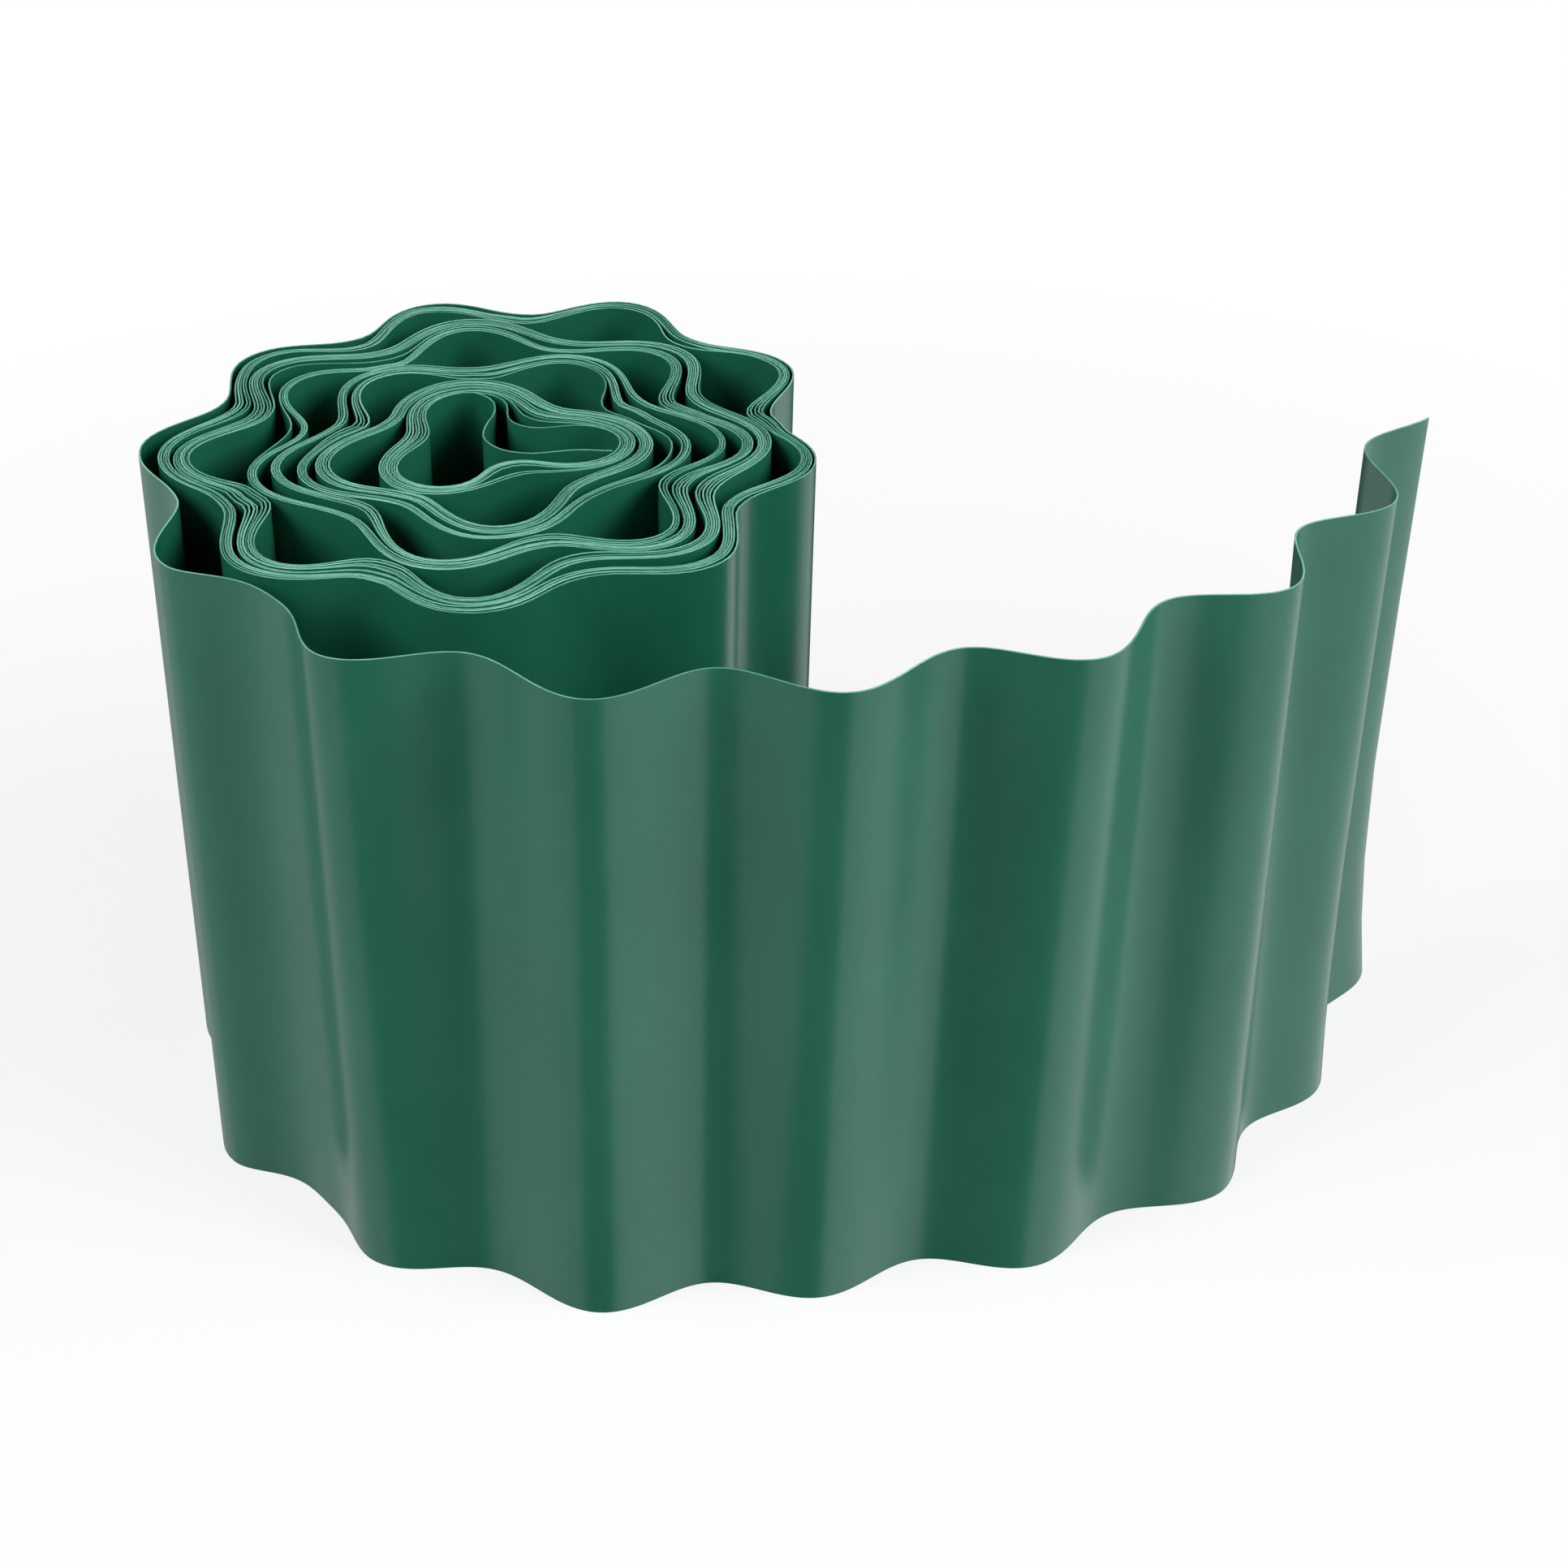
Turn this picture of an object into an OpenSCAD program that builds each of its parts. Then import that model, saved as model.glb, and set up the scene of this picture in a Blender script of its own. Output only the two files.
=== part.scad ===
// Roll of corrugated plastic lawn edging, standing on its edge.
// The whole object is one thin strip. From its inner end it winds outwards in
// bundles of nested turns, runs once round the roll as a loose turn, and leaves
// the roll as a free tail. Each stretch of the strip is a node of its own, and
// neighbouring stretches meet face to face.

/* [Strip] */
// Height of the strip, from the edge it stands on to its top edge
strip_height = 150; // [100:5:200]
// Thickness of the plastic
strip_thickness = 0.5; // [0.4:0.05:0.8]
// Length of one wave of the corrugation, measured straight along the tail
wave_pitch = 47; // [40:1:60]
// Depth of the corrugation, from crest to trough
wave_depth = 11.5; // [9:0.5:13]

/* [Roll] */
// Clear space between neighbouring turns of a bundle
turn_gap = 0.5; // [0.5:0.05:0.8]
// How strongly the turns of a bundle fan out in the troughs that the plan marks
fanning = 1; // [0:0.1:1.2]

/* [Free tail] */
// Waves in the tail, from the roll to the cut end
tail_waves = 6.9; // [2:0.1:7]
// Distance by which the foot of the cut end stands outside its top
end_splay = 7; // [0:0.5:12]

/* [Hidden] */

strip_green = [0.12, 0.40, 0.32];

// The plan of the roll is drawn for a strip of this pitch and depth, and follows both.
drawn_pitch = 47;
drawn_depth = 11.5;
plan_scale = wave_pitch / drawn_pitch;
depth_scale = wave_depth / drawn_depth;
turn_pitch = strip_thickness + turn_gap;

// One row per bundle, from the core outwards: its whole turns, the angle at which the
// strip enters it, and its lobes. A lobe is [angle of its crest, radius of the crest,
// radius of the trough after it, share by which the turns fan out in that trough], on
// the middle line of the bundle and round the middle of the roll. The trough lies
// midway between its two crests.
bundles = [
    [4, 100, [[100, 26.4, 14, 0.3], [240, 25, 15.5, 0.3], [358, 31, 15.8, 0.8]]],
    [3, 240, [[101, 30.2, 21.6, 0], [207, 34.2, 28.4, 0], [278, 40.8, 29.2, 0],
              [356, 35.6, 22, 0]]],
    [2, 278, [[63.5, 44.9, 33.3, 0.2], [124.5, 41, 27, 0.8], [206.5, 38.7, 31.7, 0],
              [276.6, 43.6, 34.2, 0], [356, 43.2, 33.4, 1]]],
    [2, 63.5, [[63.5, 48, 36.8, 0], [128, 43.1, 31.6, 0.2], [201, 43.5, 37.2, 0],
               [265, 53.6, 46.4, 0], [311.5, 58, 43.4, 0.2], [359, 50.9, 39, 0.3]]],
    [2, 265, [[50.5, 59, 48.8, 0], [94, 59.6, 44.7, 0], [143, 53.4, 38.4, 0.8],
              [203, 48.7, 41.2, 0], [265, 55.8, 48.8, 0], [312, 60.3, 46.8, 0.5],
              [359, 56.2, 44, 0.4]]],
    [3, 94, [[49.5, 63.2, 54.2, 0], [95, 63.3, 51.2, 0], [142, 61.7, 49.6, 0.3],
             [187.4, 62, 52, 0.4], [235, 66.3, 58.3, 0.4], [272, 69.4, 57, 0.3],
             [313, 65.2, 50.8, 0.4], [360, 59.7, 51.7, 0.1]]],
    [3, 272, [[32, 75.2, 67.5, 0.6], [67, 78.5, 64.6, 0.4], [103, 71.7, 58, 0.2],
              [139.5, 66.8, 55, 0.2], [186, 65.4, 57, 0], [234, 70, 61.6, 0],
              [272, 71.8, 62.7, 0], [311.6, 71.5, 60.7, 0], [352, 68.9, 60, 0.4]]],
    [0, 272, [[32, 77, 70, 0], [67, 80.5, 67.9, 0], [101.5, 75.2, 60.8, 0], [140, 69, 59, 0],
              [183.2, 70.6, 65, 0], [224.5, 79.6, 63.8, 0], [272, 73.7, 64.4, 0],
              [311.7, 73.4, 61.8, 0], [351, 70.5, 63, 0]]]
];
n_bundles = len(bundles);
// The loose turn ends on its crest at this angle, where the tail begins
roll_end = 224.5;

// Places along a half wave where the strip is stepped, closer at crest and trough
half_wave_places = [0, 0.2, 0.5, 0.8];
// Angle step of the radius tables
table_step = 1;
table_size = 360 / table_step;
// Angle on either side of a seam within which the strip moves from bundle to bundle
seam_blend = 15;
// Radius of the rounding where a bundle leans on the one inside it
lean_round = 0.6;
// Extra space between two bundles that lean on each other
lean_gap = 0.3;

// The inner end, from its free edge to where it meets the first turn, drawn for a first
// turn that has this radius on its right-hand crest
inner_end_route = [[26.8, -4.2], [20, -3.5], [12, -4.8], [4.6, -3.6], [0.8, 1.4], [0.8, 7.5],
                   [2.3, 14], [1.2, 20.5]];
drawn_first_turn = 29.5;

// Middle line of the tail: a point for each outer crest after the one on the roll, and
// a last one that gives its direction past the cut end
tail_route = [[-20.5, -85.4], [25, -99.9], [71, -97.6], [116, -85.8], [154, -60], [180.5, -25.5],
              [199, 17], [212, 61]];
// Shares of the end splay by which the foot of the tail stands outside its top: one for
// each crest from the roll on, with one more before them and one after
foot_leans = [-0.1, 0, -0.1, -0.1, -0.4, -0.03, 0.72, 0.9, 1, 1];
// Waves at the cut end in which the lean moves down towards the foot
bowed_waves = 1.5;
// Share by which the first trough of the tail is shallower than the others
first_flattening = 0.4;
// Share by which the waves of the tail are shallower at its foot
foot_flattening = 0.3;
// Waves by which the slanting cut leaves the foot longer than the top
cut_slant = 0.15;
// Waves in the last stretch of the tail
end_waves = 2.4;

function total(list, count) = count <= 0 ? 0 : list[count - 1] + total(list, count - 1);
function wrap(angle) = angle - 360 * floor(angle / 360);
function blend(a, b, share) = a + (b - a) * share;
function smooth(share) = share <= 0 ? 0 : share >= 1 ? 1 : share * share * (3 - 2 * share);
// Rise from crest to trough, with flat ends and a straight steep flank
function rise(s) = (3 * s * s - 2 * pow(s, 3) + pow(s, 3) * (6 * s * s - 15 * s + 10)) / 2;
function right_of(direction) = [direction[1], -direction[0]] / norm(direction);

// Angle, counted on from turn to turn, at which the strip enters bundle b
function seam(b) =
    b == 0 ? bundles[0][1]
           : seam(b - 1) + 360 * bundles[b - 1][0]
             + wrap((b < n_bundles ? bundles[b][1] : roll_end) - bundles[b - 1][1]);
seams = [for (b = [0 : n_bundles]) seam(b)];
function turns_in(b) = (seams[b + 1] - seams[b]) / 360;

// Crests and troughs of bundle b in order, over a little more than one turn:
// [angle, radius, fanning of the turns there]
function extremes(b) =
    let (lobes = bundles[b][2], n = len(lobes))
    [for (i = [-1 : n])
        let (lobe = lobes[(i + n) % n],
             angle = lobe[0] + 360 * floor(i / n),
             next_angle = lobes[(i + 1 + n) % n][0] + 360 * floor((i + 1) / n),
             middle = (lobe[1] + lobe[2]) / 2,
             half_depth = (lobe[1] - lobe[2]) / 2 * depth_scale)
        each [[angle, (middle + half_depth) * plan_scale, 0],
              [(angle + next_angle) / 2, (middle - half_depth) * plan_scale,
               lobe[3] * fanning]]];

// [radius, fanning] of bundle b at each table angle, as drawn
function drawn_table(b) =
    let (list = extremes(b),
         order = [for (i = [0 : len(list) - 1]) [list[i][0], i]])
    [for (k = [0 : table_size - 1])
        let (place = lookup(k * table_step, order),
             i = min(floor(place), len(list) - 2),
             share = rise(place - i))
        [blend(list[i][1], list[i + 1][1], share), blend(list[i][2], list[i + 1][2], share)]];

function half_stack(b, fan) = turns_in(b) * turn_pitch * (1 + fan) / 2;

// Bundle b laid on the bundle inside it: it never comes closer than the turns allow
function laid_table(b, inside) =
    let (drawn = drawn_table(b))
    [for (k = [0 : table_size - 1])
        let (r = inside[k][0],
             slope = (inside[(k + 1) % table_size][0]
                      - inside[(k + table_size - 1) % table_size][0])
                     / (2 * table_step * PI / 180 * r),
             room = half_stack(b - 1, inside[k][1]) + half_stack(b, drawn[k][1]) + lean_gap,
             least = r + room * sqrt(1 + slope * slope),
             lead = drawn[k][0] - least)
        [least + (lead + sqrt(lead * lead + lean_round * lean_round)) / 2, drawn[k][1]]];

tables = [for (b = 0, table = drawn_table(0);
               b < n_bundles;
               b = b + 1, table = b < n_bundles ? laid_table(b, table) : table) table];

function table_at(b, angle) =
    let (place = wrap(angle) / table_step, k = floor(place))
    blend(tables[b][k], tables[b][(k + 1) % table_size], place - k);

// Point of the strip's middle line on bundle b at a counted angle
function on_bundle(b, angle) =
    let (here = table_at(b, angle),
         step = 2 * table_step,
         slope = (table_at(b, angle + step)[0] - table_at(b, angle - step)[0])
                 / (2 * step * PI / 180),
         ray = [cos(angle), sin(angle)],
         across = [-sin(angle), cos(angle)],
         shift = ((angle - seams[b]) / 360 - turns_in(b) / 2) * turn_pitch
                 * (1 + here[1]))
    here[0] * ray + shift * right_of(slope * ray + here[0] * across);

// Point of the strip's middle line at a counted angle of the roll
function on_roll(b, angle) =
    b > 0 && angle < seams[b] + seam_blend
        ? blend(on_bundle(b - 1, angle), on_bundle(b, angle),
                smooth((angle - seams[b] + seam_blend) / (2 * seam_blend)))
    : b < n_bundles - 1 && angle > seams[b + 1] - seam_blend
        ? blend(on_bundle(b, angle), on_bundle(b + 1, angle),
                smooth((angle - seams[b + 1] + seam_blend) / (2 * seam_blend)))
    : on_bundle(b, angle);

// Direction of the strip there
function roll_heading(b, angle) =
    let (step = 0.5)
    on_roll(b, angle + step) - on_roll(b, angle - step);

// Counted angles at which bundle b is stepped, its two seams included
function stepped_angles(b) =
    let (list = extremes(b), first = seams[b], last = seams[b + 1], room = 2)
    [first,
     for (turn = [floor(first / 360) : floor(last / 360)])
         for (i = [2 : 2 * len(bundles[b][2]) + 1])
             for (place = half_wave_places)
                 let (angle = 360 * turn + blend(list[i][0], list[i + 1][0], place))
                 if (angle > first + room && angle < last - room) angle,
     last];

// A stretch is a list of [point on the middle line, unit vector to the outer side]
function bundle_stretch(b) =
    [for (angle = stepped_angles(b)) [on_roll(b, angle), right_of(roll_heading(b, angle))]];

// Smooth curve through four points in a row, between the middle two
function through(p, t) =
    (2 * p[1] + (p[2] - p[0]) * t + (2 * p[0] - 5 * p[1] + 4 * p[2] - p[3]) * t * t
     + (3 * p[1] - p[0] - 3 * p[2] + p[3]) * pow(t, 3)) / 2;

// Smooth curve through a list of points, whose first and last only give direction
function on_route(points, u) =
    let (i = max(0, min(floor(u), len(points) - 4)))
    through([for (k = [0 : 3]) points[i + k]], u - i);

// The inner end meets the first turn in one line with it
roll_start = on_roll(0, seams[0]);
start_heading = roll_heading(0, seams[0]) / norm(roll_heading(0, seams[0]));
core_scale = norm(on_roll(0, seams[0] + 258)) / drawn_first_turn;
inner_route = [for (p = inner_end_route) p * core_scale];
inner_last = inner_route[len(inner_route) - 1];
inner_points = concat([2 * inner_route[0] - inner_route[1]], inner_route,
                      [roll_start, inner_last + 2 * norm(roll_start - inner_last) * start_heading]);
inner_spans = len(inner_points) - 3;
inner_steps = 3;
probe = 0.01;
inner_stretch =
    [for (k = [0 : inner_spans * inner_steps])
        let (u = k / inner_steps)
        [on_route(inner_points, u),
         k == inner_spans * inner_steps
             ? right_of(start_heading)
             : right_of(on_route(inner_points, u + probe) - on_route(inner_points, u - probe))]];

// The tail begins on the last crest of the loose turn, with its middle line half a
// wave depth inside it
tail_crest = on_roll(n_bundles - 1, seams[n_bundles]);
crest_heading = roll_heading(n_bundles - 1, seams[n_bundles]);
tail_heading = crest_heading / norm(crest_heading);
tail_start = tail_crest - right_of(tail_heading) * wave_depth / 2;
first_crest = tail_route[0] * plan_scale;
tail_points = concat([first_crest - 2 * norm(first_crest - tail_start) * tail_heading, tail_start],
                     [for (p = tail_route) p * plan_scale]);
function tail_out(u) =
    right_of(on_route(tail_points, u + probe) - on_route(tail_points, u - probe));
function on_tail(u, drop) =
    let (share = 1 - foot_flattening * drop * smooth(u)
                 - (u < 1 ? first_flattening * pow(sin(180 * u), 2) : 0))
    on_route(tail_points, u) + tail_out(u) * wave_depth / 2 * cos(360 * u) * share;
function tail_places(from, to) =
    let (places = [for (k = [floor(2 * from) : ceil(2 * to) - 1]) for (place = half_wave_places)
                      (k + place) / 2],
         inner = [for (u = places) if (u > from + 0.03 && u < to - 0.03) u])
    concat([from], inner, [to]);

// Station of the tail at a place in waves, and at a drop below the top edge that is
// given as a share of the height
function tail_station(u, drop) =
    let (along = u + cut_slant * drop * smooth(u - tail_waves + 1),
         lean = on_route(foot_leans, along) * end_splay,
         bow = smooth((u - tail_waves + bowed_waves) / bowed_waves))
    [on_tail(along, drop) + tail_out(along) * lean * blend(drop, pow(drop, 4), bow),
     u == 0 ? right_of(tail_heading)
            : right_of(on_tail(along + probe, drop) - on_tail(along - probe, drop))];
function tail_row(places, drop) = [for (u = places) tail_station(u, drop)];

end_start = max(tail_waves - end_waves, 0.5);
tail_part = tail_places(0, end_start);
end_part = tail_places(end_start, tail_waves);
// Drops below the top edge at which the two parts are drawn, from the foot up
tail_drops = [1, 0.75, 0.5, 0.25, 0];
end_drops = [1, 0.9, 0.78, 0.6, 0.3, 0];

bundle_parts = [for (b = [0 : n_bundles - 1]) bundle_stretch(b)];

// The two faces of a stretch, as one closed outline
function side(stretch, offset) = [for (p = stretch) p[0] + p[1] * offset];
function reversed(list) = [for (k = [len(list) - 1 : -1 : 0]) list[k]];
function outline(stretch) =
    concat(side(stretch, strip_thickness / 2), reversed(side(stretch, -strip_thickness / 2)));

// The origin is on the floor, at the middle of the footprint
all_points = concat([for (part = bundle_parts) each outline(part)], outline(inner_stretch),
                    outline(tail_row(tail_part, 0)), outline(tail_row(tail_part, 1)),
                    outline(tail_row(end_part, 0)), outline(tail_row(end_part, 1)));
xs = [for (p = all_points) p[0]];
ys = [for (p = all_points) p[1]];
middle = [(min(xs) + max(xs)) / 2, (min(ys) + max(ys)) / 2];

// Least clear space between the strip and its own next turn, and from the inner end
// and the tail to the turns that they pass
roll_line = [for (part = bundle_parts) for (p = part) p[0]];
roll_angles = [for (b = [0 : n_bundles - 1]) each stepped_angles(b)];
last_side = len(roll_line) - 2;
function to_side(p, j) =
    let (a = roll_line[j],
         run = roll_line[j + 1] - a,
         share = run * run == 0 ? 0 : max(0, min(1, (p - a) * run / (run * run))))
    norm(p - a - run * share);
turn_gaps = [for (i = [0 : last_side]) for (j = [i : last_side])
                if (abs(roll_angles[j] - roll_angles[i] - 360) < 24) to_side(roll_line[i], j)];
inner_gaps = [for (p = inner_stretch) for (j = [0 : last_side])
                 if (roll_angles[j] > seams[0] + 120) to_side(p[0], j)];
tail_gaps = [for (p = concat(tail_row(tail_part, 0), tail_row(tail_part, 1)))
                for (j = [0 : last_side])
                    if (roll_angles[j] < seams[n_bundles] - 120) to_side(p[0], j)];
echo(turns = (seams[n_bundles] - seams[0]) / 360,
     gap_between_turns = min(turn_gaps) - strip_thickness,
     gap_to_inner_end = min(inner_gaps) - strip_thickness,
     gap_to_tail = min(tail_gaps) - strip_thickness);

module strip(stretch) {
    color(strip_green)
        translate([-middle[0], -middle[1], 0])
            linear_extrude(height = strip_height)
                polygon(outline(stretch));
}

module inner_end() {
    strip(inner_stretch);
}

module core_bundle() {
    strip(bundle_parts[0]);
}

module inner_bundle() {
    strip(bundle_parts[1]);
}

module inner_mid_bundle() {
    strip(bundle_parts[2]);
}

module mid_bundle() {
    strip(bundle_parts[3]);
}

module outer_mid_bundle() {
    strip(bundle_parts[4]);
}

module outer_bundle() {
    strip(bundle_parts[5]);
}

module rim_bundle() {
    strip(bundle_parts[6]);
}

module loose_turn() {
    strip(bundle_parts[7]);
}

// A part of the tail, whose outline changes from row to row as it leans. The triangles of
// its two faces run the same way, so that it keeps its thickness where it twists.
module leaning_strip(places, drops) {
    rows = [for (drop = drops) outline(tail_row(places, drop))];
    n = len(rows[0]);
    last = n * (len(drops) - 1);
    points = [for (j = [0 : len(drops) - 1]) for (p = rows[j])
                 [p[0], p[1], strip_height * (1 - drops[j])]];
    walls = [for (j = [0 : len(drops) - 2]) for (k = [0 : n - 1])
        let (a = j * n + k, b = j * n + (k + 1) % n)
        each (k < n / 2 ? [[a, b, b + n], [a, b + n, a + n]]
                        : [[a, b, a + n], [b, b + n, a + n]])];
    caps = [for (a = [0 : n / 2 - 2])
        let (b = a + 1, c = n - 2 - a, d = n - 1 - a)
        each [[a, d, c], [a, c, b],
              [a + last, c + last, d + last], [a + last, b + last, c + last]]];
    color(strip_green)
        translate([-middle[0], -middle[1], 0])
            polyhedron(points = points, faces = concat(walls, caps));
}

module free_tail() {
    leaning_strip(tail_part, tail_drops);
}

module free_end() {
    leaning_strip(end_part, end_drops);
}

inner_end();
core_bundle();
inner_bundle();
inner_mid_bundle();
mid_bundle();
outer_mid_bundle();
outer_bundle();
rim_bundle();
loose_turn();
free_tail();
free_end();
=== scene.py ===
"""Roll of corrugated lawn edging: one thin green strip, wound up and standing on its edge,
with a free tail. Sizes are in metres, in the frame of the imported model."""

from math import cos, floor, hypot, pi, radians, sin, sqrt

import bpy
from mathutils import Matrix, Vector


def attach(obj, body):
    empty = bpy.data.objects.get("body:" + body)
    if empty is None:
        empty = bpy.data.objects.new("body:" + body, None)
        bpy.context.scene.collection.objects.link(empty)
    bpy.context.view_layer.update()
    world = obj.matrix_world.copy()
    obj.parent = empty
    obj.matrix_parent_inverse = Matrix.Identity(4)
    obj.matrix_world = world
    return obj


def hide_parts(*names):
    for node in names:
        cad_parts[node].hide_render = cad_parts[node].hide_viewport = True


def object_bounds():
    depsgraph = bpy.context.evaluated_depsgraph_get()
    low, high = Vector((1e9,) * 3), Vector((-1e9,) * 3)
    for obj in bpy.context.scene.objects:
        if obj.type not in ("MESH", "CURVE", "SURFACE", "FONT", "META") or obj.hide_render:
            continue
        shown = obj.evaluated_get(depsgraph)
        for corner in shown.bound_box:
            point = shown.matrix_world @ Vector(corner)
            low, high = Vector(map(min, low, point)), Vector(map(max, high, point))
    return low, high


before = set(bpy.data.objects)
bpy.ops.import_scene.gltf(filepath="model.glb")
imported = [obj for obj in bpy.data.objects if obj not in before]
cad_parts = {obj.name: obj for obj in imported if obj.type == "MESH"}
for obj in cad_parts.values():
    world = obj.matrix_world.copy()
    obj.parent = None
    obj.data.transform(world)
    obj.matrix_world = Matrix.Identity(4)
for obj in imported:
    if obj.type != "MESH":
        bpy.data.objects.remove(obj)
packed_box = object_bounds()

bl_info = {
    "name": "Lawn edging roll",
    "version": (1, 0, 0),
    "blender": (4, 5, 0),
    "location": "View3D > Sidebar > Edging",
    "description": "Builds a wound roll of corrugated lawn edging with a free tail",
    "category": "Add Mesh",
}

# One row per bundle of nested turns, from the core outwards: its whole turns, the angle at
# which the strip enters it, and its lobes. A lobe is (angle of its crest, radius of the
# crest, radius of the trough after it), in degrees and millimetres round the middle of the
# roll. Where the turns don't lie close in that trough, the distance by which the innermost
# one falls inwards follows, then the share of the turns that falls with it, or None where
# they part evenly, and last the same pair for the crest itself.
BUNDLES = (
    (7, 100, ((100, 26.4, 14.4, 1.3, None), (240, 25, 17, 4, 0.68), (358, 31, 17.5, 4.8, 0.22))),
    (6, 240, ((101, 30.2, 21.6), (207, 34.2, 28.4, 0, None, 0.5, 0.12), (280, 40.8, 29.4),
              (356, 35, 21.7))),
    (4, 278, ((63.5, 44.9, 33.5, 1.2, 0.2), (124.5, 41, 27.5, 1.8, None), (206.5, 38.7, 31.7),
              (276.6, 43.6, 34.6), (356, 43.2, 34.3, 3, 0.2, 1.8, 0.2))),
    (3, 63.5, ((63.5, 48, 36.8), (128, 43.1, 31.7, 0.4, None), (201, 43.5, 37.2, 1, None),
               (265, 53.6, 46.4, 0.9, None), (311.5, 57.5, 43.5, 1, None),
               (359, 50.9, 39.2, 0.5, None))),
    (4, 265, ((50.5, 59, 48.8), (96, 59.6, 44.2), (143, 52.3, 40.3, 2.2, 0.75),
              (203, 48.7, 42.2), (265, 55.8, 48.8), (312, 60.3, 47.2, 1.1, None),
              (359, 56.2, 44.3, 1.2, None))),
    (6, 94, ((49.5, 62.8, 54.2), (95, 63.3, 51.5, 1.6, 0.09),
             (142, 61.7, 50, 1.2, None, 2, 0.09), (187.4, 62, 52.5, 2.6, None),
             (235, 66.3, 58.9, 2.5, None), (272, 69.4, 57.4, 1, 0.16),
             (313, 65.2, 52.9, 1.7, None), (360, 59.7, 50.9, 0.5, 0.85))),
    (5, 272, ((32, 75.2, 68.1, 2, 0.18), (67, 78.5, 65.1, 1.3, None),
              (103.2, 72.4, 57.4, 0.6, None), (139.5, 66.8, 55.4, 1.4, None),
              (186, 65.4, 57), (234, 69.6, 60.9), (272, 71.8, 62.7),
              (311.6, 71.5, 59.7), (352, 68.9, 60.4, 1.6, None))),
    (0, 272, ((32, 77, 69.1), (67, 80.5, 67.9), (101.5, 75.2, 61.3), (140, 69.9, 59.5),
              (183.2, 70.6, 65), (224.5, 79.6, 63.8), (272, 73.7, 64.4), (311.7, 73.4, 61.8),
              (351, 70.5, 63))),
)
# Depth of the wave, in millimetres, for which these crests and troughs hold
DRAWN_DEPTH = 11.5
# Share of a bundle's turns over which they part, where they part at a place among them
PARTING_SPREAD = 0.25
# Where they part evenly, the most by which a turn strays from its share, in turns, and the
# angle in radians from one turn's stray to the next
TURN_STRAY = 1.4
STRAY_STEP = 2.3
# The loose turn ends on its crest at this angle, where the tail begins
ROLL_END = 224.5
# Angle on either side of a seam within which the strip moves from bundle to bundle
SEAM_BLEND = 15
# Rounding and space where a bundle leans on the one inside it, in millimetres
LEAN_ROUND = 0.6
LEAN_GAP = 0.06
# The inner end of the strip, from its free edge to where it meets the first turn
INNER_END = ((27.9, -4.3), (20, -3.7), (11, -5.4), (4.6, -3.6), (0.8, 1.4), (0.8, 7.5),
             (2.3, 14), (1.2, 20.5))
# Steps between two of its points
INNER_STEPS = 24
# Middle line of the tail, a point for each outer crest after the one on the roll
TAIL = ((-20.5, -85.4), (25, -99.9), (71, -97.6), (116, -85.8), (154, -60), (180.5, -25.5),
        (199, 17), (212, 61))
# Shares of the end splay by which the foot of the tail stands outside its top: one for each
# crest from the roll on, with one more before them and one after
FOOT_LEANS = (-0.1, 0, -0.1, -0.1, -0.4, -0.03, 0.72, 0.9, 1, 1)
# Waves at the cut end in which the lean moves down towards the foot
BOWED_WAVES = 1.5
# Shares by which the first trough of the tail, and all its waves at the foot, are shallower
FIRST_FLATTENING = 0.5
FOOT_FLATTENING = 0.3
# Waves by which the slanting cut leaves the foot longer than the top
CUT_SLANT = 0.15
# Rows of the mesh: how far each lies below the top edge, as a share of the height
DROPS = (0, 0.3, 0.6, 0.78, 0.9, 1)
# Step in degrees in which the roll is traced, the length between two stations of its mesh
# in millimetres, and the stations to a wave of the tail
TRACE_STEP = 0.6
STATION = 2.4
WAVE_STATIONS = 36
# No two turns stand quite level. In millimetres: the most that the top edge dips anywhere,
# the lengths over which the dips come and go, and the length before the tail in which they
# fade out
EDGE_DIP = 0.55
DIP_LENGTHS = (61, 97, 173)
DIP_FADE = 100
# Width of the bevel on the edges of the strip, as a share of its thickness
EDGE_BEVEL = 0.24

# Marks, wear and painted light and shade on the plastic, in waves of a noise to the metre, along
# the strip and up it
DIE_LINES = (3.0, 900.0)
MOTTLE = (45.0, 22.0)
NICKS = (350.0, 350.0)
# The streaks paint light and shade on the cut edges, turn by turn, for turns that stand higher
# or lower
LIGHT_AND_SHADE_STREAKS = (13.0, 0.0)

# The soft lights, the point that they shine at, and the camera
LEFT_PANEL = (-0.95, -0.5, 0.9)
RIGHT_PANEL = (1.0, -0.5, 0.85)
PANEL_SIZE = (0.9, 0.7)
LIT_POINT = (0.02, -0.03, 0.07)
CAMERA_PLACE = (-0.03087, -0.48693, 0.38805)
CAMERA_DOWNWARDS = 32.83
CAMERA_SHIFT = 0.0761
# Half the angle over which a wall of the studio fades into a gap, in degrees
GAP_BLUR = 5
# Heights, as the sine of the angle upwards, between which the walls end and the ceiling
# begins
CEILING_RISE = (0.3, 0.8)
# Size of the floor, and the distances from the middle between which its shadow fades out
FLOOR_SIZE = 12
SHADOW_REACH = (0.2, 0.5)
# Share of plain white in what the camera sees of the floor near the object
FLOOR_WHITE = 0.78


def rise(s):
    """Rise from crest to trough, with flat ends and a steep flank."""
    return (3 * s * s - 2 * s**3 + s**3 * (6 * s * s - 15 * s + 10)) / 2


def smooth(share):
    """Eased step from 0 to 1."""
    share = min(1.0, max(0.0, share))
    return share * share * (3 - 2 * share)


def outward(heading):
    """Unit vector to the right of a heading, which is the outer side of the strip."""
    return Vector((heading.y, -heading.x)).normalized()


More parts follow.
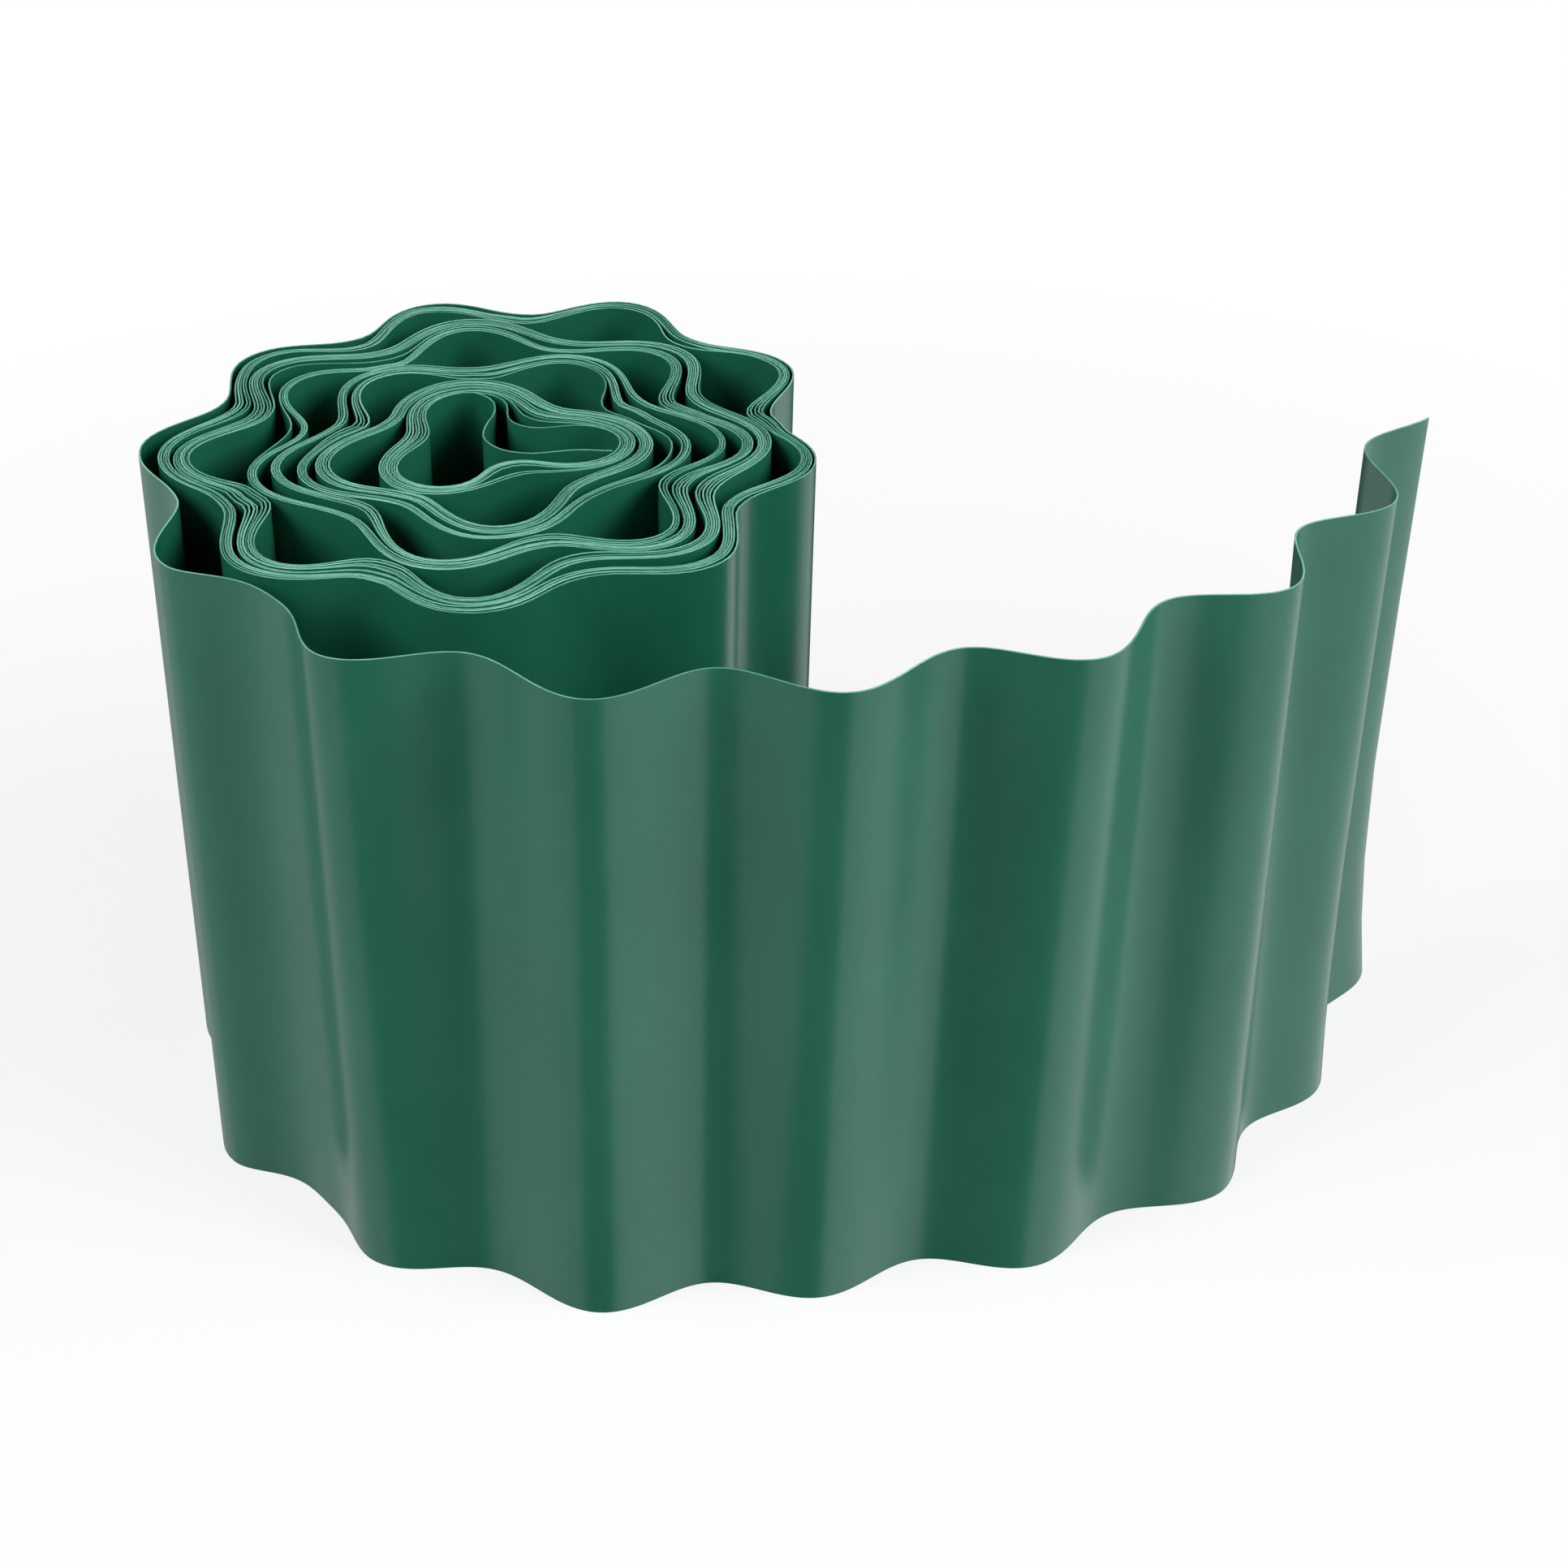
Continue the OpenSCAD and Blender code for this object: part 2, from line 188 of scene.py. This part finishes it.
class Winding:
    """The plan of the strip's middle line, in millimetres round the middle of the roll."""

    def __init__(self, wave_depth, turn_pitch, tail_waves, end_splay):
        self.depth = wave_depth
        self.pitch = turn_pitch
        self.waves = tail_waves
        self.splay = end_splay
        self.seams = [BUNDLES[0][1]]
        for b, row in enumerate(BUNDLES):
            after = BUNDLES[b + 1][1] if b + 1 < len(BUNDLES) else ROLL_END
            self.seams.append(self.seams[-1] + 360 * row[0] + (after - row[1]) % 360)
        self.tables = []
        for b in range(len(BUNDLES)):
            self.tables.append(self.laid_table(b))
        self.start_tail()

    def turns(self, b):
        """Turns of the strip in a bundle."""
        return (self.seams[b + 1] - self.seams[b]) / 360

    def drawn_table(self, b):
        """Radius of a bundle for each whole degree, with how far its turns part there: a
        distance and a place among the turns for each of the two marks beside it."""
        lobes = BUNDLES[b][2]
        marks = []
        for i in range(-1, len(lobes) + 1):
            lobe = lobes[i % len(lobes)]
            angle, crest, trough, *parting = lobe + (0, None, 0, None)[len(lobe) - 3 :]
            following = lobes[(i + 1) % len(lobes)][0] + 360 * floor((i + 1) / len(lobes))
            angle += 360 * floor(i / len(lobes))
            middle, half = (crest + trough) / 2, (crest - trough) / 2 * self.depth / DRAWN_DEPTH
            marks.append((angle, middle + half, *parting[2:]))
            marks.append(((angle + following) / 2, middle - half, *parting[:2]))
        table = []
        for degree in range(360):
            i = max(k for k in range(len(marks) - 1) if marks[k][0] <= degree)
            a, z = marks[i], marks[i + 1]
            s = rise((degree - a[0]) / (z[0] - a[0]))
            least = min(a[2], z[2])
            before = least * (1 - s) + (a[2] - least) * (1 - s) ** 3
            after = least * s + (z[2] - least) * s**3
            table.append((a[1] + (z[1] - a[1]) * s, ((before, a[3]), (after, z[3]))))
        return table

    def offset(self, b, turn, parting):
        """Distance of a turn from the middle line of its bundle as it would lie close."""
        count = max(self.turns(b), 1.0)
        share = turn / count
        made = self.pitch * (turn - self.turns(b) / 2)
        for distance, place in parting:
            if place is None:
                stray = TURN_STRAY / count * share * (1 - share)
                held = share + stray * cos(STRAY_STEP * turn + b)
            else:
                held = smooth((share - place) / PARTING_SPREAD + 0.5)
            made -= distance * (1 - held)
        return made

    def laid_table(self, b):
        """The drawn bundle, moved outwards where it would cut the bundle inside it."""
        drawn = self.drawn_table(b)
        if b == 0:
            return drawn
        inside = self.tables[b - 1]
        table = []
        for degree in range(360):
            r = inside[degree][0]
            slope = (inside[(degree + 1) % 360][0] - inside[degree - 1][0]) / radians(2) / r
            room = (self.offset(b - 1, self.turns(b - 1), inside[degree][1])
                    - self.offset(b, 0, drawn[degree][1]) + LEAN_GAP)
            least = r + room * sqrt(1 + slope * slope)
            lead = drawn[degree][0] - least
            r = least + (lead + hypot(lead, LEAN_ROUND)) / 2
            table.append((r, drawn[degree][1]))
        return table

    def radius(self, b, angle):
        """Radius of a bundle's middle line at an angle."""
        k = floor(angle)
        low, high = self.tables[b][k % 360][0], self.tables[b][(k + 1) % 360][0]
        return low + (high - low) * (angle - k)

    def on_bundle(self, b, angle):
        """Point of the turn of a bundle that lies at an angle counted on from its seam."""
        r = self.radius(b, angle)
        slope = (self.radius(b, angle + 2) - self.radius(b, angle - 2)) / radians(4)
        ray = Vector((cos(radians(angle)), sin(radians(angle))))
        heading = slope * ray + r * Vector((-ray.y, ray.x))
        turn = (angle - self.seams[b]) / 360
        k = floor(angle)
        low = self.offset(b, turn, self.tables[b][k % 360][1])
        high = self.offset(b, turn, self.tables[b][(k + 1) % 360][1])
        return ray * r + outward(heading) * (low + (high - low) * (angle - k))

    def on_roll(self, angle):
        """Point of the middle line at an angle that is counted on from turn to turn."""
        last = len(BUNDLES) - 1
        b = 0
        while b < last and angle >= self.seams[b + 1]:
            b += 1
        if b > 0 and angle < self.seams[b] + SEAM_BLEND:
            share = smooth((angle - self.seams[b] + SEAM_BLEND) / (2 * SEAM_BLEND))
            return self.on_bundle(b - 1, angle).lerp(self.on_bundle(b, angle), share)
        if b < last and angle > self.seams[b + 1] - SEAM_BLEND:
            share = smooth((angle - self.seams[b + 1] + SEAM_BLEND) / (2 * SEAM_BLEND))
            return self.on_bundle(b, angle).lerp(self.on_bundle(b + 1, angle), share)
        return self.on_bundle(b, angle)

    def heading(self, angle):
        """Unit vector along the strip at an angle on the roll."""
        return (self.on_roll(angle + 0.5) - self.on_roll(angle - 0.5)).normalized()

    @staticmethod
    def on_route(points, u):
        """Smooth curve through points, whose first and last only give direction."""
        i = max(0, min(floor(u), len(points) - 4))
        t = u - i
        a, b, c, d = points[i : i + 4]
        return (2 * b + (c - a) * t + (2 * a - 5 * b + 4 * c - d) * t * t
                + (3 * b - a - 3 * c + d) * t**3) / 2

    def inner_line(self):
        """Points of the inner end, up to the first turn."""
        start, heading = self.on_roll(self.seams[0]), self.heading(self.seams[0])
        route = [Vector(p) for p in INNER_END]
        beyond = route[-1] + 2 * (start - route[-1]).length * heading
        points = [2 * route[0] - route[1]] + route + [start, beyond]
        steps = INNER_STEPS * (len(points) - 3)
        return [self.on_route(points, k / INNER_STEPS) for k in range(steps)]

    def start_tail(self):
        """Lead the tail's middle line out of the last crest of the loose turn."""
        heading = self.heading(self.seams[-1])
        start = self.on_roll(self.seams[-1]) - outward(heading) * self.depth / 2
        first = Vector(TAIL[0])
        self.tail = [first - 2 * (first - start).length * heading, start]
        self.tail += [Vector(p) for p in TAIL]

    def on_tail(self, u, drop):
        """Point of the tail at a place in waves and a drop below the top edge."""
        along = u + CUT_SLANT * drop * smooth(u - self.waves + 1)
        ahead = self.on_route(self.tail, along + 0.01)
        behind = self.on_route(self.tail, along - 0.01)
        side = outward(ahead - behind if u > 0 else self.heading(self.seams[-1]))
        share = 1 - FOOT_FLATTENING * drop * smooth(along)
        if along < 1:
            share -= FIRST_FLATTENING * sin(pi * along) ** 2
        bow = smooth((u - self.waves + BOWED_WAVES) / BOWED_WAVES)
        lean = self.on_route(FOOT_LEANS, along) * self.splay * (drop + (drop**4 - drop) * bow)
        wave = self.depth / 2 * cos(2 * pi * along) * share
        return self.on_route(self.tail, along) + side * (wave + lean)

    def roll_line(self):
        """Points of the inner end and the roll, evenly spaced."""
        fine = self.inner_line()
        swept = self.seams[-1] - self.seams[0]
        count = int(swept / TRACE_STEP)
        fine += [self.on_roll(self.seams[0] + swept * k / count) for k in range(count + 1)]
        run = [0.0]
        for p, q in zip(fine, fine[1:]):
            run.append(run[-1] + (q - p).length)
        points, k = [], 0
        total = round(run[-1] / STATION)
        for i in range(total):
            s = run[-1] * i / total
            while run[k + 1] < s:
                k += 1
            points.append(fine[k].lerp(fine[k + 1], (s - run[k]) / (run[k + 1] - run[k])))
        return points

    def stations(self):
        """Stations along the strip, each with a point for every row of the mesh."""
        made = [[p] * len(DROPS) for p in self.roll_line()]
        steps = round(self.waves * WAVE_STATIONS)
        for k in range(steps + 1):
            made.append([self.on_tail(self.waves * k / steps, drop) for drop in DROPS])
        return made


def plan_middle(stations):
    """Middle of the footprint, which is the frame's origin."""
    xs = [p.x for rows in stations for p in rows]
    ys = [p.y for rows in stations for p in rows]
    return Vector(((min(xs) + max(xs)) / 2, (min(ys) + max(ys)) / 2))


def edge_dip(run):
    """Depth in millimetres by which the top edge lies low at a length along the strip."""
    waves = [sin(2 * pi * run / length + i) for i, length in enumerate(DIP_LENGTHS)]
    return EDGE_DIP * (0.5 + sum(waves) / 6)


class EdgingSettings(bpy.types.PropertyGroup):
    """Sizes and colours of the strip."""

    strip_height: bpy.props.FloatProperty(
        name="Height", description="Height of the strip, from edge to edge",
        default=packed_box[1][2] - packed_box[0][2], min=0.05, max=0.3, unit="LENGTH")
    strip_thickness: bpy.props.FloatProperty(
        name="Thickness", description="Thickness of the plastic",
        default=0.00037, min=0.0003, max=0.001, precision=5, unit="LENGTH")
    wave_depth: bpy.props.FloatProperty(
        name="Wave depth", description="Depth of the corrugation, from crest to trough",
        default=0.0115, min=0.006, max=0.014, precision=4, unit="LENGTH")
    turn_pitch: bpy.props.FloatProperty(
        name="Turn pitch", description="Distance from one nested turn to the next",
        default=0.0005, min=0.0004, max=0.0012, precision=5, unit="LENGTH")
    tail_waves: bpy.props.FloatProperty(
        name="Tail waves", description="Waves in the tail, from the roll to the cut end",
        default=6.9, min=1.0, max=7.0)
    end_splay: bpy.props.FloatProperty(
        name="End splay", description="Lean of the cut end's foot outside its top",
        default=0.007, min=0.0, max=0.02, precision=4, unit="LENGTH")
    face_colour: bpy.props.FloatVectorProperty(
        name="Plastic", description="Colour of the faces of the strip",
        default=(0.009, 0.107, 0.065), min=0.0, max=1.0, subtype="COLOR")
    # The cut edges' own paler colour, raised further as a painted highlight of the light from
    # above on the top edges
    edge_colour_and_highlight: bpy.props.FloatVectorProperty(
        name="Cut edge", description="Colour of the long cut edges of the strip",
        default=(0.155, 0.44, 0.33), min=0.0, max=1.0, subtype="COLOR")


class StudioSettings(bpy.types.PropertyGroup):
    """Floor, light and camera."""

    floor_colour: bpy.props.FloatVectorProperty(
        name="Floor", description="Colour of the floor",
        default=(0.80, 0.80, 0.80), min=0.0, max=1.0, subtype="COLOR")
    left_power: bpy.props.FloatProperty(
        name="Left light", description="Power of the large soft light at the left",
        default=14.0, min=0.0, unit="POWER")
    right_power: bpy.props.FloatProperty(
        name="Right light", description="Power of the large soft light at the right",
        default=17.0, min=0.0, unit="POWER")
    wall_light: bpy.props.FloatProperty(
        name="Studio walls", description="Brightness of the pale wall at the right",
        default=1.15, min=0.0, max=2.0)
    ceiling_light: bpy.props.FloatProperty(
        name="Studio ceiling", description="Brightness overhead",
        default=0.15, min=0.0, max=2.0)
    left_share: bpy.props.FloatProperty(
        name="Left wall", description="Brightness of the left wall as a share of the right one",
        default=0.6, min=0.0, max=1.0)
    gap_share: bpy.props.FloatProperty(
        name="Gaps", description="The same share for the dark gaps in front and behind",
        default=0.05, min=0.0, max=1.0)
    gap_width: bpy.props.FloatProperty(
        name="Gap width", description="Angle that each dark gap takes in",
        default=radians(59), min=0.0, max=radians(170), unit="ROTATION")
    gap_turn: bpy.props.FloatProperty(
        name="Gap turn", description="Angle by which the gaps are turned to the left",
        default=radians(5.5), min=radians(-90), max=radians(90), unit="ROTATION")
    lens: bpy.props.FloatProperty(
        name="Lens", description="Focal length of the camera, in millimetres",
        default=60.3, min=20.0, max=200.0)


def nodes_of(name):
    """A new material and its node tree, with only an output and a Principled shader."""
    material = bpy.data.materials.new(name)
    material.use_nodes = True
    tree = material.node_tree
    tree.nodes.clear()
    output = tree.nodes.new("ShaderNodeOutputMaterial")
    shader = tree.nodes.new("ShaderNodeBsdfPrincipled")
    tree.links.new(shader.outputs["BSDF"], output.inputs["Surface"])
    return material, tree, shader


def node(tree, kind, **inputs):
    """A new node, with values for the inputs that are named."""
    made = tree.nodes.new(kind)
    for socket, value in inputs.items():
        made.inputs[socket.replace("_", " ")].default_value = value
    return made


def math_node(tree, operation):
    """A new Math node for an operation."""
    made = tree.nodes.new("ShaderNodeMath")
    made.operation = operation
    return made


def strip_coordinates(tree, length, height, stretch):
    """The strip's own flat coordinates in metres, times a stretch along and across it."""
    place = tree.nodes.new("ShaderNodeTexCoord")
    mapping = tree.nodes.new("ShaderNodeMapping")
    mapping.inputs["Scale"].default_value = (length * stretch[0], height * stretch[1], 1.0)
    tree.links.new(place.outputs["UV"], mapping.inputs["Vector"])
    return mapping.outputs["Vector"]


def green_plastic(settings, length):
    """Glossy extruded plastic: faint die lines along the strip and a soft mottle."""
    material, tree, shader = nodes_of("green_plastic")
    height = settings.strip_height
    lines = node(tree, "ShaderNodeTexNoise", Scale=1.0, Detail=3.0, Roughness=0.55)
    tree.links.new(strip_coordinates(tree, length, height, DIE_LINES), lines.inputs["Vector"])
    mottle = node(tree, "ShaderNodeTexNoise", Scale=1.0, Detail=4.0, Roughness=0.6)
    tree.links.new(strip_coordinates(tree, length, height, MOTTLE), mottle.inputs["Vector"])

    tint = tree.nodes.new("ShaderNodeValToRGB")
    base = settings.face_colour
    tint.color_ramp.elements[0].position = 0.3
    tint.color_ramp.elements[0].color = (base[0] * 0.85, base[1] * 0.93, base[2] * 0.92, 1)
    tint.color_ramp.elements[1].position = 0.7
    tint.color_ramp.elements[1].color = (base[0] * 1.2, base[1] * 1.07, base[2] * 1.08, 1)
    tree.links.new(mottle.outputs["Fac"], tint.inputs["Fac"])
    tree.links.new(tint.outputs["Color"], shader.inputs["Base Color"])

    sheen = tree.nodes.new("ShaderNodeMapRange")
    sheen.inputs["To Min"].default_value = 0.24
    sheen.inputs["To Max"].default_value = 0.34
    tree.links.new(mottle.outputs["Fac"], sheen.inputs["Value"])
    tree.links.new(sheen.outputs["Result"], shader.inputs["Roughness"])

    relief = node(tree, "ShaderNodeBump", Strength=0.06, Distance=0.0002)
    tree.links.new(lines.outputs["Fac"], relief.inputs["Height"])
    tree.links.new(relief.outputs["Normal"], shader.inputs["Normal"])
    shader.inputs["IOR"].default_value = 1.54
    return material


def cut_edge_and_painted_light(settings, length):
    """The paler, slightly torn plastic of the long cut edges, paler still as a painted highlight
    of the light from above, with painted light and shade streaks from turn to turn.
    """
    material, tree, shader = nodes_of("cut_edge_and_painted_light")
    height = settings.strip_height
    nicks = node(tree, "ShaderNodeTexNoise", Scale=1.0, Detail=3.0, Roughness=0.6)
    tree.links.new(strip_coordinates(tree, length, height, NICKS), nicks.inputs["Vector"])
    # Streaks along the strip that paint light and shade on the cut edges from turn to turn
    light_and_shade_streaks = node(tree, "ShaderNodeTexNoise", Scale=1.0, Detail=2.0, Roughness=0.5)
    tree.links.new(strip_coordinates(tree, length, height, LIGHT_AND_SHADE_STREAKS), light_and_shade_streaks.inputs["Vector"])
    blend = node(tree, "ShaderNodeMix", Factor=0.25)
    tree.links.new(light_and_shade_streaks.outputs["Fac"], blend.inputs["A"])
    tree.links.new(nicks.outputs["Fac"], blend.inputs["B"])
    # Ramp from painted shade to painted highlight on the cut edges, set mostly by the streaks
    # and a quarter by the real nicks
    tint = tree.nodes.new("ShaderNodeValToRGB")
    edge = settings.edge_colour_and_highlight
    tint.color_ramp.elements[0].position = 0.42
    tint.color_ramp.elements[0].color = (edge[0] * 0.5, edge[1] * 0.65, edge[2] * 0.62, 1)
    tint.color_ramp.elements[1].position = 0.6
    tint.color_ramp.elements[1].color = (edge[0] * 1.45, edge[1] * 1.28, edge[2] * 1.32, 1)
    tree.links.new(blend.outputs["Result"], tint.inputs["Fac"])
    tree.links.new(tint.outputs["Color"], shader.inputs["Base Color"])
    relief = node(tree, "ShaderNodeBump", Strength=0.2, Distance=0.0001)
    tree.links.new(nicks.outputs["Fac"], relief.inputs["Height"])
    tree.links.new(relief.outputs["Normal"], shader.inputs["Normal"])
    shader.inputs["Roughness"].default_value = 0.42
    shader.inputs["IOR"].default_value = 1.5
    return material


def deselect_all():
    """Leave edit mode and select nothing."""
    if bpy.context.object and bpy.context.object.mode != "OBJECT":
        bpy.ops.object.mode_set(mode="OBJECT")
    bpy.ops.object.select_all(action="DESELECT")


def apply_modifier(piece, kind, **values):
    """Put a modifier on the active piece and apply it."""
    modifier = piece.modifiers.new(kind.title(), kind)
    for key, value in values.items():
        setattr(modifier, key, value)
    bpy.ops.object.modifier_apply(modifier=modifier.name)


class EDGING_OT_strip(bpy.types.Operator):
    """Extrude the strip flat, wind it up and give it its thickness"""

    bl_idname = "edging.strip"
    bl_label = "Wound strip"
    bl_options = {"REGISTER", "UNDO"}

    def execute(self, context):
        settings = context.scene.edging
        # The plan is worked out in millimetres
        winding = Winding(settings.wave_depth * 1000, settings.turn_pitch * 1000,
                          settings.tail_waves, settings.end_splay * 1000)
        stations = winding.stations()
        middle = plan_middle(stations)
        # Length along the top edge up to each station, and up to the tail
        run = [0.0]
        for before, after in zip(stations, stations[1:]):
            run.append(run[-1] + (after[0] - before[0]).length)
        length = run[-1]
        roll_run = run[-1 - round(settings.tail_waves * WAVE_STATIONS)]

        deselect_all()
        columns, rows = len(stations) - 1, len(DROPS) - 1
        bpy.ops.mesh.primitive_grid_add(
            x_subdivisions=columns, y_subdivisions=rows, size=2, calc_uvs=True)
        strip = context.object
        strip.name = strip.data.name = "edging_strip"

        # Each vertex goes to its station and row, and keeps its place on the flat strip
        height = settings.strip_height
        flat = {}
        for vertex in strip.data.vertices:
            place = round((vertex.co.x + 1) / 2 * columns)
            row = rows - round((vertex.co.y + 1) / 2 * rows)
            point = stations[place][row] - middle
            flat[vertex.index] = (run[place] / length, 1 - DROPS[row])
            level = height * (1 - DROPS[row])
            if row == 0:
                fade = smooth((roll_run - run[place]) / DIP_FADE)
                level -= edge_dip(run[place]) / 1000 * fade
            vertex.co = (point.x / 1000, point.y / 1000, level)
        spread = strip.data.uv_layers.active.data
        for loop in strip.data.loops:
            spread[loop.index].uv = flat[loop.vertex_index]

        strip.data.materials.append(green_plastic(settings, length / 1000))
        strip.data.materials.append(cut_edge_and_painted_light(settings, length / 1000))
        apply_modifier(strip, "SOLIDIFY", thickness=settings.strip_thickness, offset=0.0,
                       material_offset_rim=1)
        apply_modifier(strip, "BEVEL", width=settings.strip_thickness * EDGE_BEVEL, segments=1,
                       limit_method="ANGLE", angle_limit=radians(60), material=1)
        bpy.ops.object.shade_smooth()
        apply_modifier(strip, "WEIGHTED_NORMAL", keep_sharp=True, weight=80)

        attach(strip, "root")
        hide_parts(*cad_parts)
        return {"FINISHED"}


def add_panel(name, location, power):
    """A large soft light that shines at the object."""
    bpy.ops.object.light_add(type="AREA", location=location)
    lamp = bpy.context.object
    lamp.name = name
    lamp.data.shape = "RECTANGLE"
    lamp.data.size, lamp.data.size_y = PANEL_SIZE
    lamp.data.energy = power
    beam = Vector(LIT_POINT) - lamp.location
    lamp.rotation_euler = beam.to_track_quat("-Z", "Y").to_euler()


class EDGING_OT_studio(bpy.types.Operator):
    """Add the floor, the soft lights and the camera"""

    bl_idname = "edging.studio"
    bl_label = "Studio"
    bl_options = {"REGISTER", "UNDO"}

    def execute(self, context):
        settings = context.scene.studio
        deselect_all()
        bpy.ops.mesh.primitive_plane_add(size=FLOOR_SIZE, location=(0, 0, 0))
        floor = context.object
        floor.name = "floor"
        floor.data.materials.append(self.floor_finish(settings))
        floor.visible_glossy = False

        add_panel("left_panel", LEFT_PANEL, settings.left_power)
        add_panel("right_panel", RIGHT_PANEL, settings.right_power)
        context.scene.world = self.studio_air(settings)

        bpy.ops.object.camera_add(location=CAMERA_PLACE,
                                  rotation=(radians(90 - CAMERA_DOWNWARDS), 0, 0))
        camera = context.object
        camera.name = "camera"
        camera.data.lens = settings.lens
        camera.data.sensor_width = 36
        camera.data.shift_x = CAMERA_SHIFT
        context.scene.camera = camera
        context.scene.view_settings.view_transform = "Standard"
        return {"FINISHED"}

    @staticmethod
    def studio_air(settings):
        """White behind the object, and round it pale walls left and right with dark gaps
        in front and behind, which draw the bands on its glossy waves."""
        world = bpy.data.worlds.new("studio_air")
        world.use_nodes = True
        tree = world.node_tree
        tree.nodes.clear()
        place = tree.nodes.new("ShaderNodeTexCoord")
        turn = tree.nodes.new("ShaderNodeMapping")
        turn.inputs["Rotation"].default_value = (0, 0, settings.gap_turn)
        parts = tree.nodes.new("ShaderNodeSeparateXYZ")
        bearing = math_node(tree, "ARCTAN2")
        across = math_node(tree, "SINE")
        span = tree.nodes.new("ShaderNodeMapRange")
        span.inputs["From Min"].default_value = -1.0
        near = sin(settings.gap_width / 2 - radians(GAP_BLUR)) / 2
        far = sin(settings.gap_width / 2 + radians(GAP_BLUR)) / 2
        walls = tree.nodes.new("ShaderNodeValToRGB")
        walls.color_ramp.interpolation = "EASE"
        left, gap = settings.left_share, settings.gap_share
        stops = ((0, left), (0.5 - far, left), (0.5 - near, gap), (0.5 + near, gap),
                 (0.5 + far, 1), (1, 1))
        for where, _ in stops[1:-1]:
            walls.color_ramp.elements.new(where)
        for element, (where, value) in zip(walls.color_ramp.elements, stops):
            element.position = where
            element.color = (value, value, value, 1)
        overhead = tree.nodes.new("ShaderNodeMapRange")
        overhead.inputs["From Min"].default_value = CEILING_RISE[0]
        overhead.inputs["From Max"].default_value = CEILING_RISE[1]
        overhead.inputs["To Min"].default_value = settings.wall_light
        overhead.inputs["To Max"].default_value = settings.ceiling_light
        light = math_node(tree, "MULTIPLY")
        air = tree.nodes.new("ShaderNodeBackground")
        backdrop = node(tree, "ShaderNodeBackground", Color=(1, 1, 1, 1), Strength=1.0)
        rays = tree.nodes.new("ShaderNodeLightPath")
        pick = tree.nodes.new("ShaderNodeMixShader")
        output = tree.nodes.new("ShaderNodeOutputWorld")
        tree.links.new(place.outputs["Generated"], turn.inputs["Vector"])
        tree.links.new(turn.outputs["Vector"], parts.inputs["Vector"])
        tree.links.new(parts.outputs["X"], bearing.inputs[0])
        tree.links.new(parts.outputs["Y"], bearing.inputs[1])
        tree.links.new(bearing.outputs["Value"], across.inputs[0])
        tree.links.new(across.outputs["Value"], span.inputs["Value"])
        tree.links.new(span.outputs["Result"], walls.inputs["Fac"])
        tree.links.new(parts.outputs["Z"], overhead.inputs["Value"])
        tree.links.new(walls.outputs["Color"], light.inputs[0])
        tree.links.new(overhead.outputs["Result"], light.inputs[1])
        tree.links.new(light.outputs["Value"], air.inputs["Strength"])
        tree.links.new(rays.outputs["Is Camera Ray"], pick.inputs["Fac"])
        tree.links.new(air.outputs["Background"], pick.inputs[1])
        tree.links.new(backdrop.outputs["Background"], pick.inputs[2])
        tree.links.new(pick.outputs["Shader"], output.inputs["Surface"])
        return world

    @staticmethod
    def floor_finish(settings):
        """Pale floor that the camera sees as white, with a faint shadow of the object."""
        material, tree, shader = nodes_of("pale_floor")
        shader.inputs["Base Color"].default_value = (*settings.floor_colour, 1)
        shader.inputs["Roughness"].default_value = 0.9
        output = next(n for n in tree.nodes if n.type == "OUTPUT_MATERIAL")
        white = node(tree, "ShaderNodeEmission", Color=(1, 1, 1, 1), Strength=1.0)
        rays = tree.nodes.new("ShaderNodeLightPath")
        place = tree.nodes.new("ShaderNodeTexCoord")
        reach = tree.nodes.new("ShaderNodeVectorMath")
        reach.operation = "LENGTH"
        fade = tree.nodes.new("ShaderNodeMapRange")
        fade.inputs["From Min"].default_value = SHADOW_REACH[0]
        fade.inputs["From Max"].default_value = SHADOW_REACH[1]
        fade.inputs["To Min"].default_value = FLOOR_WHITE
        share = math_node(tree, "MULTIPLY")
        pick = tree.nodes.new("ShaderNodeMixShader")
        tree.links.new(place.outputs["Object"], reach.inputs[0])
        tree.links.new(reach.outputs["Value"], fade.inputs["Value"])
        tree.links.new(fade.outputs["Result"], share.inputs[1])
        tree.links.new(rays.outputs["Is Camera Ray"], share.inputs[0])
        tree.links.new(share.outputs["Value"], pick.inputs["Fac"])
        tree.links.new(shader.outputs["BSDF"], pick.inputs[1])
        tree.links.new(white.outputs["Emission"], pick.inputs[2])
        tree.links.new(pick.outputs["Shader"], output.inputs["Surface"])
        return material


class EDGING_PT_panel(bpy.types.Panel):
    """Sidebar panel of the edging roll"""

    bl_idname = "EDGING_PT_panel"
    bl_label = "Lawn edging roll"
    bl_space_type = "VIEW_3D"
    bl_region_type = "UI"
    bl_category = "Edging"

    def draw(self, context):
        column = self.layout.column()
        for group in (context.scene.edging, context.scene.studio):
            for name in group.__annotations__:
                column.prop(group, name)
            column.separator()
        column.operator(EDGING_OT_strip.bl_idname)
        column.operator(EDGING_OT_studio.bl_idname)


CLASSES = (EdgingSettings, StudioSettings, EDGING_OT_strip, EDGING_OT_studio, EDGING_PT_panel)


def register():
    for made in CLASSES:
        bpy.utils.register_class(made)
    bpy.types.Scene.edging = bpy.props.PointerProperty(type=EdgingSettings)
    bpy.types.Scene.studio = bpy.props.PointerProperty(type=StudioSettings)


def unregister():
    del bpy.types.Scene.studio
    del bpy.types.Scene.edging
    for made in reversed(CLASSES):
        bpy.utils.unregister_class(made)


def main():
    """Build the roll and its studio."""
    register()
    bpy.ops.edging.strip()
    bpy.ops.edging.studio()


if __name__ == "__main__":
    main()
